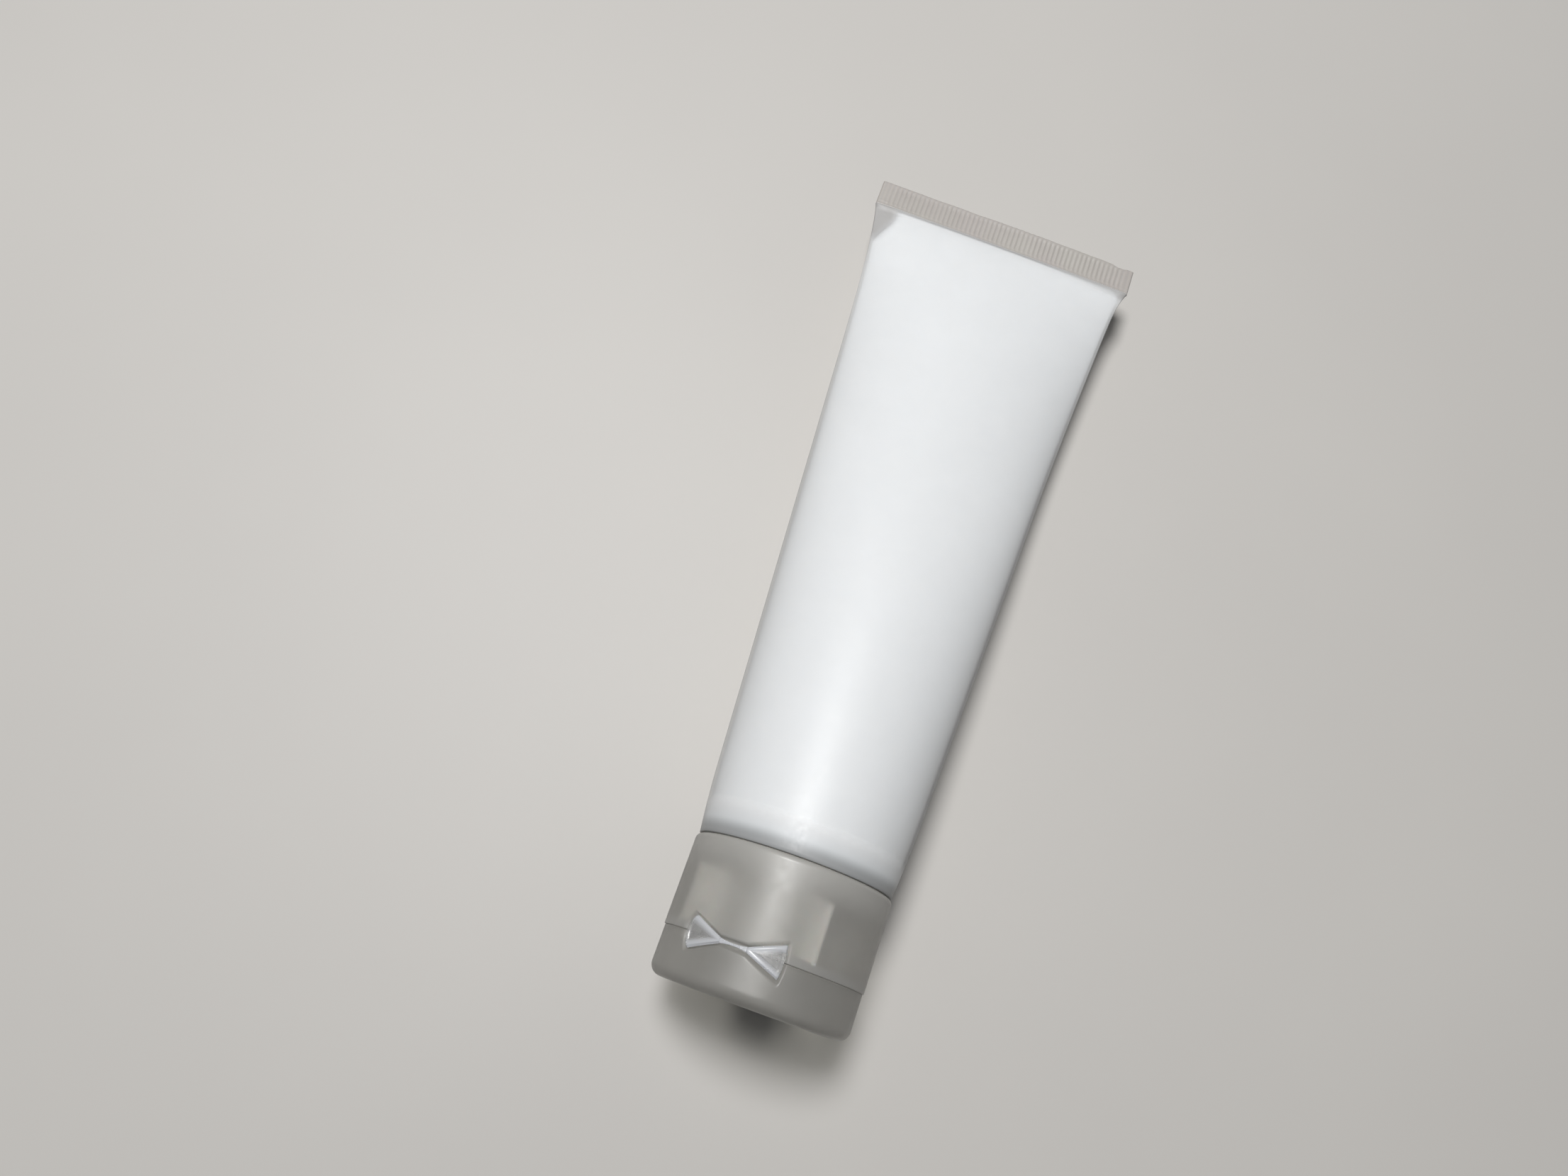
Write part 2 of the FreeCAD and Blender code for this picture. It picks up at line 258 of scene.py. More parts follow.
def ring_angles():
    """Angles round the cap: close together at the hinge, and fairly close at the thumb recess."""
    half = spaced(
        0,
        (math.radians(32), math.radians(0.66)),
        (math.radians(150), math.radians(3)),
        (math.pi, math.radians(1.5)),
    )
    return [-angle for angle in reversed(half[1:])] + half + [math.pi]


def make_object(name, points, faces):
    """Mesh object with smooth faces that all look outwards."""
    mesh = bpy.data.meshes.new(name)
    mesh.from_pydata(points, [], faces)
    shell = bmesh.new()
    shell.from_mesh(mesh)
    bmesh.ops.recalc_face_normals(shell, faces=shell.faces)
    for face in shell.faces:
        face.smooth = True
    shell.to_mesh(mesh)
    shell.free()
    piece = bpy.data.objects.new(name, mesh)
    bpy.context.scene.collection.objects.link(piece)
    return piece


def finish_piece(piece, material, body, slot, *nodes):
    """Give a piece its material and its body, and hide the CAD nodes that it stands for."""
    piece.data.materials.append(material)
    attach(piece, body)
    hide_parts(*nodes)


def add_attribute(piece, name, values):
    """Give the piece's points a number each, for its material to read."""
    piece.data.attributes.new(name, "FLOAT", "POINT").data.foreach_set("value", values)


def lathe(name, outline, angles, carve=None, poles=False):
    """Turned piece from an outline of (radius, height) points. With poles, the outline starts and
    ends on the axis. carve(radius, angle, height) gives a changed radius."""
    rings = outline[1:-1] if poles else outline
    points = []
    for radius, height in rings:
        for angle in angles:
            points.append(cap_point(carve(radius, angle, height) if carve else radius, angle, height))
    columns = len(angles)
    faces = grid_faces(len(rings), columns, wrap_rows=not poles)
    if poles:
        for end, first in ((outline[0], 0), (outline[-1], (len(rings) - 1) * columns)):
            centre = len(points)
            points.append(cap_point(0, 0, end.y))
            faces += [(centre, first + column, first + (column + 1) % columns)
                      for column in range(columns)]
    return make_object(name, points, faces)


# ---- node helpers ---------------------------------------------------------------------------------
def new_material(name, roughness):
    """A material with a Principled shader. Returns the material and the shader."""
    material = bpy.data.materials.new(name)
    material.use_nodes = True
    shader = material.node_tree.nodes["Principled BSDF"]
    shader.inputs["Roughness"].default_value = roughness
    return material, shader


def object_coordinate(tree, axis=None):
    """Socket with the point's place in metres, or with one axis of it."""
    place = tree.nodes.new("ShaderNodeTexCoord").outputs["Object"]
    if axis is None:
        return place
    split = tree.nodes.new("ShaderNodeSeparateXYZ")
    tree.links.new(place, split.inputs[0])
    return split.outputs[axis]


def noise_field(tree, scale, detail):
    """Socket with soft noise about 0.5. The scale is in cells a metre."""
    texture = tree.nodes.new("ShaderNodeTexNoise")
    texture.inputs["Scale"].default_value = scale
    texture.inputs["Detail"].default_value = detail
    tree.links.new(object_coordinate(tree), texture.inputs["Vector"])
    return texture.outputs["Fac"]


def attribute(tree, name):
    """Socket with the number that the mesh's points hold under this name."""
    node = tree.nodes.new("ShaderNodeAttribute")
    node.attribute_name = name
    return node.outputs["Fac"]


def map_range(tree, socket, low, high, low_value, high_value, smooth=False):
    """Socket that goes from low_value to high_value as the given one goes from low to high."""
    node = tree.nodes.new("ShaderNodeMapRange")
    if smooth:
        node.interpolation_type = "SMOOTHSTEP"
    node.inputs["From Min"].default_value = low
    node.inputs["From Max"].default_value = high
    node.inputs["To Min"].default_value = low_value
    node.inputs["To Max"].default_value = high_value
    tree.links.new(socket, node.inputs["Value"])
    return node.outputs["Result"]


def along_mask(tree, start_y, end_y, start_value=0, end_value=1):
    """Socket that goes smoothly between two values from start_y to end_y, in millimetres."""
    along = object_coordinate(tree, "Y")
    return map_range(tree, along, start_y * MM, end_y * MM, start_value, end_value, smooth=True)


def vary_roughness(tree, shader, scale, detail, low, high):
    """Let noise move the shader's roughness between two values."""
    rough = map_range(tree, noise_field(tree, scale, detail), 0.3, 0.7, low, high)
    tree.links.new(rough, shader.inputs["Roughness"])


def math_node(tree, operation, first, second=0):
    """Socket with the result of an operation on two values, each a number or a socket."""
    node = tree.nodes.new("ShaderNodeMath")
    node.operation = operation
    for value, slot in ((first, node.inputs[0]), (second, node.inputs[1])):
        if isinstance(value, (int, float)):
            slot.default_value = value
        else:
            tree.links.new(value, slot)
    return node.outputs[0]


def mix_color(tree, share, first, second):
    """Socket with a mix of two colours, each a tuple or a socket."""
    node = tree.nodes.new("ShaderNodeMix")
    node.data_type = "RGBA"
    tree.links.new(share, node.inputs["Factor"])
    for value, slot in ((first, node.inputs[6]), (second, node.inputs[7])):
        if isinstance(value, tuple):
            slot.default_value = (*value, 1)
        else:
            tree.links.new(value, slot)
    return node.outputs[2]


def add_bump(tree, shader, fields):
    """Chain bumps, each (height socket, strength, distance in metres), into the shader's normal."""
    normal = None
    for field, strength, distance in fields:
        bump = tree.nodes.new("ShaderNodeBump")
        bump.inputs["Strength"].default_value = strength
        bump.inputs["Distance"].default_value = distance
        tree.links.new(field, bump.inputs["Height"])
        if normal:
            tree.links.new(normal, bump.inputs["Normal"])
        normal = bump.outputs[0]
    tree.links.new(normal, shader.inputs["Normal"])


# ---- materials ------------------------------------------------------------------------------------
def body_tint(tree, over_head, empty):
    """Colour of the body's film: pale over the cream, greyer where it is empty, painted lighter where it
    half covers the cream, greyer at the shoulder, and darkened by painted shade at the rim.
    """
    filled = mix_color(tree, noise_field(tree, 260, 4), (0.77, 0.78, 0.79), (0.81, 0.815, 0.82))
    # Painted light: the film is made lighter where it half covers the cream, to fill the dip in brightness
    # there.
    half_covered = math_node(tree, "MULTIPLY", over_head, math_node(tree, "SUBTRACT", 1, over_head))
    lift = map_range(tree, half_covered, 0, 0.25, 0, 1)      # the product is 0.25 where half is covered
    filled = mix_color(tree, lift, filled, (0.885, 0.89, 0.895))
    # Greyer towards the shoulder, partly because the film lies over the head there instead of the cream,
    # partly painted shade leading into the groove at the cap's rim.
    shoulder = along_mask(tree, shoulder_y - 0.5, shoulder_y + 6.0, 1, 0)
    body = mix_color(tree, shoulder, filled, (0.49, 0.515, 0.525))
    # Painted shade: a dark band at the rim stands in for the shadow in the groove between the sleeve and
    # the cap.
    rim = along_mask(tree, shoulder_y + 0.7, shoulder_y + 2.9, 1, 0)
    body = mix_color(tree, rim, body, (0.33, 0.336, 0.338))
    return mix_color(tree, empty, body, (0.455, 0.445, 0.435))


def band_tint(tree):
    """Colour of the welded band: painted lighter on the crests of its teeth and darker between them, as
    light and shade on the serration, with faint patches.
    """
    pitch = 2 * (tail_half_width - tooth_plain_edge) / tooth_count * MM
    across = object_coordinate(tree, "X")
    wave = math_node(tree, "SINE", math_node(tree, "MULTIPLY", across, 2 * math.pi / pitch))
    # Painted light and shade: lighter on each tooth's crest, darker in each valley.
    painted_crest_light = map_range(tree, wave, -1, 1, 0, 1)
    band = mix_color(tree, painted_crest_light, (0.445, 0.415, 0.395), (0.49, 0.45, 0.42))
    patch = map_range(tree, noise_field(tree, 90, 2), 0.35, 0.65, 0, 0.7)
    return mix_color(tree, patch, band, (0.475, 0.455, 0.415))


def film_material():
    """Frosted film: clear enough over the cream, and more solid at the welded band, at the tube's
    head and where there is no cream."""
    material, shader = new_material("frosted_film", 0.46)
    tree = material.node_tree
    welded = along_mask(tree, band_start_y - 0.1, band_start_y + 0.5)
    over_head = along_mask(tree, shoulder_y + 2.7, shoulder_y + 7.0, 1, 0)
    empty = attribute(tree, "haze")
    tint = mix_color(tree, welded, body_tint(tree, over_head, empty), band_tint(tree))
    tree.links.new(tint, shader.inputs["Base Color"])
    cover = map_range(tree, empty, 0, 1, 0.34, 0.86)
    cover = math_node(tree, "MAXIMUM", cover, map_range(tree, over_head, 0, 1, 0.3, 0.98))
    cover = math_node(tree, "MAXIMUM", cover, map_range(tree, welded, 0, 1, 0.3, 0.82))
    tree.links.new(cover, shader.inputs["Alpha"])
    vary_roughness(tree, shader, 900, 3, 0.42, 0.54)
    add_bump(tree, shader, [
        (noise_field(tree, 5200, 2), 0.10, 0.00003),
        (noise_field(tree, 160, 2), 0.12, 0.0004),
    ])
    return material


def inside_film_material():
    """The film's inner side, which is wet with cream and all but invisible."""
    material, shader = new_material("film_inside", 0.5)
    tree = material.node_tree
    shade = mix_color(tree, noise_field(tree, 260, 3), (0.78, 0.785, 0.79), (0.83, 0.835, 0.84))
    tree.links.new(shade, shader.inputs["Base Color"])
    shader.inputs["Alpha"].default_value = 0.04
    return material


def cream_material():
    """Dense white cream with a soft depth."""
    material, shader = new_material("shaving_cream", 0.42)
    tree = material.node_tree
    shade = mix_color(tree, noise_field(tree, 120, 3), (0.86, 0.87, 0.875), (0.90, 0.91, 0.915))
    tree.links.new(shade, shader.inputs["Base Color"])
    shader.inputs["Subsurface Weight"].default_value = 0.35
    shader.inputs["Subsurface Scale"].default_value = 0.0015
    shader.inputs["Subsurface Radius"].default_value = (1.0, 0.95, 0.9)
    add_bump(tree, shader, [(noise_field(tree, 400, 4), 0.15, 0.0003)])
    return material


def let_lamps_through(tree, shader):
    """Make the surface clear to shadow rays, so that lamps reach what is behind it."""
    output = tree.nodes["Material Output"]
    clear = tree.nodes.new("ShaderNodeBsdfTransparent")
    clear.inputs["Color"].default_value = (0.72, 0.72, 0.71, 1)
    light_path = tree.nodes.new("ShaderNodeLightPath")
    mix = tree.nodes.new("ShaderNodeMixShader")
    tree.links.new(light_path.outputs["Is Shadow Ray"], mix.inputs["Fac"])
    tree.links.new(shader.outputs["BSDF"], mix.inputs[1])
    tree.links.new(clear.outputs[0], mix.inputs[2])
    tree.links.new(mix.outputs[0], output.inputs["Surface"])


def frosted_plastic(name, dark, light, clearness, roughness, grain=1.0):
    """Moulded translucent plastic with a fine spark-eroded grain. Returns the material and the shader."""
    material, shader = new_material(name, roughness)
    tree = material.node_tree
    tone = mix_color(tree, noise_field(tree, 170, 3), dark, light)
    tree.links.new(tone, shader.inputs["Base Color"])
    shader.inputs["Transmission Weight"].default_value = clearness
    shader.inputs["IOR"].default_value = 1.49
    vary_roughness(tree, shader, 700, 4, roughness - 0.05, roughness + 0.06)
    add_bump(tree, shader, [
        (noise_field(tree, 9000, 2), 0.12 * grain, 0.00002),
        (noise_field(tree, 130, 1), 0.10, 0.0003),
    ])
    let_lamps_through(tree, shader)
    return material, shader


def whiten(tree, shader, where, painted_light, clearness):
    """Paint frosted plastic a lighter colour, and give it another clearness, where the socket is 1."""
    plain = shader.inputs["Base Color"].links[0].from_socket
    tree.links.new(mix_color(tree, where, plain, painted_light), shader.inputs["Base Color"])
    clear = shader.inputs["Transmission Weight"]
    tree.links.new(map_range(tree, where, 0, 1, clear.default_value, clearness), clear)


def cap_material():
    """Frosted plastic of the base and the lid, painted lighter at the base's rim, as light glowing through
    it, and over the deck's edge, lifting the shade inside the cap.
    """
    material, shader = frosted_plastic("cap_plastic", (0.45, 0.44, 0.415), (0.53, 0.52, 0.495), 0.72, 0.43)
    shader.inputs["Specular IOR Level"].default_value = 0.7
    tree = material.node_tree
    deck_y = shoulder_y - deck_underside
    parting_y = shoulder_y - parting
    # Painted light: a lighter, less clear band by the rim stands in for light glowing through it, and one
    # over the deck's edge lifts the shade seen there through the skirt.
    rim = along_mask(tree, shoulder_y - 7.0, shoulder_y - 1.0)
    deck = along_mask(tree, deck_y + 0.5, deck_y - 0.3)
    on_base = along_mask(tree, parting_y - 0.02, parting_y + 0.02)
    painted_light = math_node(tree, "MAXIMUM", rim, math_node(tree, "MULTIPLY", deck, on_base))
    whiten(tree, shader, painted_light, (0.52, 0.51, 0.485), 0.50)
    return material


def hinge_material():
    """Glossier plastic of the hinge, lighter along its folding edges: stress whitening, and painted
    highlight on the straps' bevelled bands.
    """
    material, shader = frosted_plastic(
        "hinge_plastic", (0.50, 0.50, 0.50), (0.56, 0.56, 0.56), 0.75, 0.24, grain=0.3)
    tree = material.node_tree
    whiten(tree, shader, attribute(tree, "stress_and_highlight"), (0.60, 0.61, 0.635), 0.35)
    return material


def solid_plastic(name, dark, light, roughness):
    """Moulded plastic that only looks slightly waxy, with faint flow marks and grain."""
    material, shader = new_material(name, roughness)
    tree = material.node_tree
    tone = mix_color(tree, noise_field(tree, 300, 4), dark, light)
    tree.links.new(tone, shader.inputs["Base Color"])
    shader.inputs["Subsurface Weight"].default_value = 0.15
    shader.inputs["Subsurface Scale"].default_value = 0.0004
    vary_roughness(tree, shader, 800, 3, roughness - 0.06, roughness + 0.06)
    add_bump(tree, shader, [(noise_field(tree, 3000, 3), 0.15, 0.00004)])
    return material


# ---- sleeve ---------------------------------------------------------------------------------------
def body_share(y):
    """How far y is from the shoulder to the welded band, from 0 to 1."""
    return min(1.0, max(0.0, (y - shoulder_y) / (band_start_y - shoulder_y)))


def narrowing(y):
    """How much the sleeve draws in near the shoulder."""
    return rim_narrowing * max(0.0, 1 - (y - shoulder_y) / rim_narrowing_length) ** 2


def half_width(y, side):
    """The sleeve's width on one side of its middle, which flares out a little just before the band.
    side is negative on the left."""
    share = body_share(y)
    spread = tail_half_width - tube_radius
    flare = left_flare if side < 0 else right_flare
    widening = (1 - flare_share) * share + flare_share * share ** flare
    return tube_radius - narrowing(y) + spread * widening


def half_height(y):
    """Half the sleeve's height, which thins to that of the band."""
    share = body_share(y)
    return wall + (tube_radius - wall) * (1 - share ** taper_start) ** taper_end - narrowing(y)


def centre_height(y):
    """Height of the section's middle: the belly sinks a little into the floor, and the tail lifts."""
    share = body_share(y)
    along = min(share / belly_end, 1.0)
    sink = belly_flat * 4 * along * (1 - along)
    lift = max(0.0, (share - belly_end) / (1 - belly_end))
    rise = (band_height - wall - shoulder_lift) * lift ** 2
    return half_height(y) + narrowing(y) + shoulder_lift - sink + rise


def dent(x, y):
    """Faint unevenness of the filled skin, which fades out at the shoulder and at the band."""
    depth = dent_depth * ripple(x, y, 0.045, 2)
    return depth * smoothstep(2, 12, y - shoulder_y) * smoothstep(0, 4, band_start_y - y)


def section_profile(y, u):
    """Height of the section at u of its half width, as a share of its half height: round at the
    shoulder, like a lens towards the tail, and flat across the band."""
    round_power = 0.5
    lens_power = 0.82
    share = body_share(y)
    power = blend_values(round_power, lens_power, smoothstep(0.5, 0.96, share))
    power = blend_values(power, band_power, smoothstep(0.985, 1.0, share))
    return max(0.0, 1 - u * u) ** power


def on_floor(z, thickness=0.0):
    """Height kept above the floor, easing onto it."""
    margin = 0.2
    above = z - thickness
    return thickness + (above if above > margin else margin * math.exp((above - margin) / margin))


def tooth_height(x, y):
    """The serration's height above the band's face, mostly below it. The teeth are uneven, and fade
    out at the side edges, at the band's foot and at the cut edge."""
    inside = tail_half_width - tooth_plain_edge
    at_sides = smoothstep(-0.2, 2.5, inside - abs(x))
    at_foot = smoothstep(0.5, 1.3, y - band_start_y)
    at_cut = 1 - 0.85 * smoothstep(-1.3, -0.3, y - tail_y)
    uneven = 0.85 + 0.5 * ripple(x, y, 0.3, 4)
    pitch = 2 * inside / tooth_count
    depth = tooth_depth * at_sides * at_foot * at_cut * uneven
    return depth / 2 * (math.sin(2 * math.pi * x / pitch) - 1)


def bead_height(x, y):
    """Two raised ridges across the foot of the band, the first one much stronger."""
    wander = 0.06 * ripple(x, 0, 0.6, 9)
    past_foot = y - band_start_y - wander
    return sum(height * math.exp(-((past_foot - place) / width) ** 2) for place, height, width in beads)


def sleeve_point(y, u, side_up, inset):
    """Point of the sleeve's skin, in millimetres. side_up is 1 above the middle and -1 below."""
    across = half_width(y, u) - inset
    x = across * u
    up = (half_height(y) - inset + dent(x, y)) * section_profile(y, u)
    z = centre_height(y) + side_up * up
    if y > band_start_y - 1 and inset == 0:
        from_side = max(0.0, 1 - u * u) ** band_power
        z += side_up * from_side * (tooth_height(x, y) + bead_height(x, y))
        z += band_wave * math.sin(x / 9 + 0.6) * smoothstep(band_start_y, tail_y, y)
    return Vector((x, y, on_floor(z, inset)))


def haze(x, y, u):
    """How empty it looks behind the film, from 0 over the cream to 1 over the corners with no cream.
    The band's foot and the side edges lie between, and all borders are soft."""
    to_band = band_start_y - y
    from_edge = half_width(y, x) - abs(x)
    void = void_width(y, x)
    corner = smoothstep(-1.7, 0.7, void - from_edge) * smoothstep(0.0, 0.8, void)
    foot_width = cream_stop + 0.5 + 1.3 * smoothstep(4, 24, x) + 0.25 * ripple(x, 0, 0.15, 12)
    foot = 1 - smoothstep(0.45, foot_width, to_band)
    side = 0.35 * smoothstep(0.955, 1.0, abs(u))
    return max(corner, 0.6 * foot, side)


def tail_edge_y(x):
    """Y of the cut edge, which wanders a little and is torn at its right corner."""
    wander = 0.10 * ripple(x, 0, 0.22, 5) + 0.07 * ripple(x, 0, 1.6, 6)
    nick = nick_depth * smoothstep(nick_start_x, nick_start_x + 1.5, x)
    nick *= 1 - smoothstep(nick_end_x - 1, nick_end_x, x)
    return tail_y - cut_margin + min(cut_margin, wander) - nick


def outer_rows():
    """Y of each ring of the outer skin, apart from the last one at the tail's end."""
    return spaced(
        shoulder_y + first_row,
        (shoulder_y + 5, 0.5),
        (band_start_y - 14, 3.0),
        (band_start_y - 2, 1.0),
        (band_start_y, 0.2),
        (band_start_y + 1.6, 0.1),
        (tail_y - 0.9, 0.4),
        (tail_y - 0.1, 0.2),
    ) + [tail_y - 0.1]


def inner_rows():
    """Y of each ring of the inner skin."""
    return spaced(
        shoulder_y + first_row,
        (shoulder_y + 5, 1.0),
        (band_start_y - 10, 6.0),
        (band_start_y - 0.6, 0.9),
    )


def sleeve_ring(half_count, y, inset, flattened=1.0):
    """One ring of the sleeve, from the right edge over the top and back below, as points in metres
    and the film's haze at each."""
    spread = smoothstep(0.86, 0.985, body_share(y))
    middle = centre_height(y)
    points = []
    hazes = []
    for index in range(2 * half_count):
        turn = math.pi * index / half_count
        step = index if index <= half_count else 2 * half_count - index
        u = blend_values(math.cos(turn), 1 - 2 * step / half_count, spread)
        side_up = 1 if index <= half_count else -1
        point = sleeve_point(y, u, side_up, inset)
        at_end = smoothstep(tail_y - 2.0, tail_y, point.y)
        point.y += (tail_edge_y(point.x) - tail_y) * at_end
        point.z = middle + (point.z - middle) * flattened
        points.append(point * MM)
        hazes.append(haze(point.x, y, u))
    return points, hazes


def zip_faces(first, half_count):
    """Faces that join a ring's upper half to its lower half."""
    last = first + 2 * half_count
    faces = [(first, first + 1, last - 1)]
    for index in range(1, half_count - 1):
        faces.append((first + index, first + index + 1, last - index - 1, last - index))
    faces.append((first + half_count - 1, first + half_count, first + half_count + 1))
    return faces


def make_sleeve(material, inside):
    """Film sleeve: outer skin, rounded rim, inner skin, and the solid welded band."""
    half_count = tooth_count * points_per_tooth + points_for_edges
    rings = [sleeve_ring(half_count, y, film) for y in reversed(inner_rows())]
    rings.append(sleeve_ring(half_count, shoulder_y, film - rim_chamfer))
    inner_count = len(rings) * 2 * half_count
    rings.append(sleeve_ring(half_count, shoulder_y, rim_chamfer))
    rings += [sleeve_ring(half_count, y, 0.0) for y in outer_rows()]
    rings.append(sleeve_ring(half_count, tail_y, 0.0, flattened=0.7))
    faces = grid_faces(len(rings), 2 * half_count)
    faces += zip_faces(0, half_count)
    faces += zip_faces((len(rings) - 1) * 2 * half_count, half_count)
    piece = make_object("film_sleeve", [point for points, _ in rings for point in points], faces)
    add_attribute(piece, "haze", [value for _, hazes in rings for value in hazes])
    finish_piece(piece, material, "tube", "film", "tube_sleeve")
    piece.data.materials.append(inside)
    for face in piece.data.polygons:
        if max(face.vertices) < inner_count:
            face.material_index = 1               # the inner skin


# ---- cream ----------------------------------------------------------------------------------------
def void_width(y, side):
    """Width of the empty corner of the sleeve beside the cream. side is negative on the left."""
    width, length = right_void_width, right_void_length
    if side < 0:
        width, length = left_void_width, left_void_length
    return width * (1 - smoothstep(0.12, 1.0, (band_start_y - y) / length))


def cream_ring(columns, y):
    """One ring of the cream, in metres. Beside an empty corner its edge rounds off."""
    inset = film + cream_gap
    left = -(half_width(y, -1) - inset - void_width(y, -1))
    right = half_width(y, 1) - inset - void_width(y, 1)
    half = (right - left) / 2
    points = []
    for index in range(columns):
        own = math.cos(2 * math.pi * index / columns)
        x = (left + right) / 2 + half * own
        u = x / (half_width(y, x) - inset)
        edge = min(1.0, half * (1 - abs(own)) / meniscus_width)
        bend = math.sqrt(1 - (1 - edge) ** 2)
        meniscus = blend_values(1.0, bend, min(1.0, void_width(y, x) / full_meniscus_void))
        up = max(0.05, half_height(y) - inset + dent(x, y)) * section_profile(y, u) * meniscus
        side_up = 1 if index <= columns // 2 else -1
        z = on_floor(centre_height(y) + side_up * up, inset)
        points.append(Vector((x, y, z)) * MM)
    return points


def make_cream(material):
    """The cream inside the sleeve, with rounded corners where it stops short of the band."""
    columns = 120
    end = band_start_y - cream_stop
    rows = spaced(shoulder_y + cream_start, (band_start_y - 12, 3.0), (end, 0.4)) + [end]
    points = [point for y in rows for point in cream_ring(columns, y)]
    faces = grid_faces(len(rows), columns)
    for first in (0, (len(rows) - 1) * columns):
        for index in range(columns // 2):
            upper = (first + index, first + index + 1)
            lower = (first + columns - index - 1, first + (columns - index) % columns)
            faces.append(tuple(dict.fromkeys(upper + lower)))    # three points at the two edges
    piece = make_object("cream", points, faces)
    finish_piece(piece, material, "tube", "cream", "cream_fill")


def make_cream_in_neck(material):
    """The cream in the tube's head: a disc behind the shoulder, and a column up the neck."""
    outline = rounded([
        (0, neck_cream_foot, 0),
        (neck_cream_foot_radius, neck_cream_foot, 0.3),
        (neck_cream_foot_radius, neck_cream_cone, 0.3),
        (neck_cream_radius, 0.0, 0.6),
        (neck_cream_radius, neck_cream_top - 0.1, 0.6),
        (0, neck_cream_top, 0),
    ], closed=False)
    piece = lathe("cream_in_neck", divided(outline, closed=False), ring_angles()[::4], poles=True)
    finish_piece(piece, material, "tube", "cream", "cream_fill")


# ---- cap ------------------------------------------------------------------------------------------
def pocket_share(x, height, ramp):
    """How deep the hinge's pocket is at a point, from 0 to 1. Past the wing's upper edge the floor
    comes up over the length ramp, more towards +x."""
    along = max(0.0, (abs(x) - waist_half_width) / (wing_half_width - waist_half_width))
    tall = blend_values(waist_half_height, wing_half_height, along) + pocket_gap
    inside = (tall - abs(height)) * 0.92          # measured square to the pocket's slanting edge
    slope = pocket_slope
    if height > 0:
        slope += ramp * smoothstep(-4, wing_half_width + 1, x)
    curve = 1 - min(1.0, abs(height) / (wing_half_height + 0.5)) ** 2
    wide = wing_half_width + (left_bulge if x < 0 else right_bulge) * curve + pocket_gap + 0.08
    return smoothstep(-slope, 0.14, inside) * smoothstep(-0.22, 0.12, wide - abs(x))


def carve_pocket(outer_radius, inner_radius, ramp):
    """Function that sinks the hinge's pocket into a wall between two radii."""
    def carve(radius, angle, height):
        """Radius with the pocket sunk into it."""
        if radius <= inner_radius or abs(angle) > pocket_reach:
            return radius
        share = pocket_share(radius * math.sin(angle), height - parting, ramp)
        depth = (outer_radius - pocket_floor_radius) * share
        return radius - depth * (radius - inner_radius) / (outer_radius - inner_radius)
    return carve


def make_cap_base(material):
    """Skirt and deck of the cap, with the seat for the lid and the pocket for the hinge."""
    inner = base_radius - base_wall
    seat_top = deck_top + seat_ring_height
    seat_inner = seat_ring_radius - seat_ring_wall
    outline = rounded([
        (inner, base_bottom, 0.3),
        (base_radius, base_bottom, 1.0),
        (base_radius, deck_top, 0.14),
        (seat_ring_radius, deck_top, 0.08),
        (seat_ring_radius, seat_top, 0.2),
        (seat_inner, seat_top, 0.2),
        (seat_inner, deck_top, 0.08),
        (deck_hole_radius, deck_top, 0.15),
        (deck_hole_radius, deck_underside, 0.15),
        (inner, deck_underside, 0.35),
    ])
    carve = carve_pocket(base_radius, inner + carve_margin, 0.0)
    piece = lathe("cap_skirt", divided(outline), ring_angles(), carve)
    finish_piece(piece, material, "cap_base", "cap_plastic", "cap_base")


def make_ribs(material):
    """Thin ribs that join the threaded collar to the skirt, with bevelled edges."""
    inner = collar_outer_radius + rib_gap
    outer = base_radius - base_wall - rib_gap
    top = deck_underside - 0.02
    profile = rounded([
        (inner, collar_bottom + 0.6, 0.5),
        (outer, collar_bottom + 1.2, 0.8),
        (outer, top, 0.1),
        (inner, top, 0.1),
    ], steps=4)
    middle = Vector(((inner + outer) / 2, (collar_bottom + deck_underside) / 2))
    bevel = 0.1
    layers = ((-1.0, bevel), (-0.8, 0.0), (0.8, 0.0), (1.0, bevel))    # side and bevel of each outline
    size = len(profile)
    last = (len(layers) - 1) * size
    one_rib = grid_faces(len(layers), size) + [tuple(range(size)), tuple(range(last, last + size))]
    points = []
    faces = []
    for index in range(rib_count):
        angle = 2 * math.pi * (index + 0.5) / rib_count
        first = len(points)
        for side, shrink in layers:
            beside = side * rib_thickness / 2
            for corner in profile:
                place = corner + (middle - corner).normalized() * shrink
                radius = math.hypot(place.x, beside)
                points.append(cap_point(radius, angle + math.atan2(beside, place.x), place.y))
        faces += [tuple(first + corner for corner in face) for face in one_rib]
    piece = make_object("cap_ribs", points, faces)
    finish_piece(piece, material, "cap_base", "cap_plastic", "cap_base")


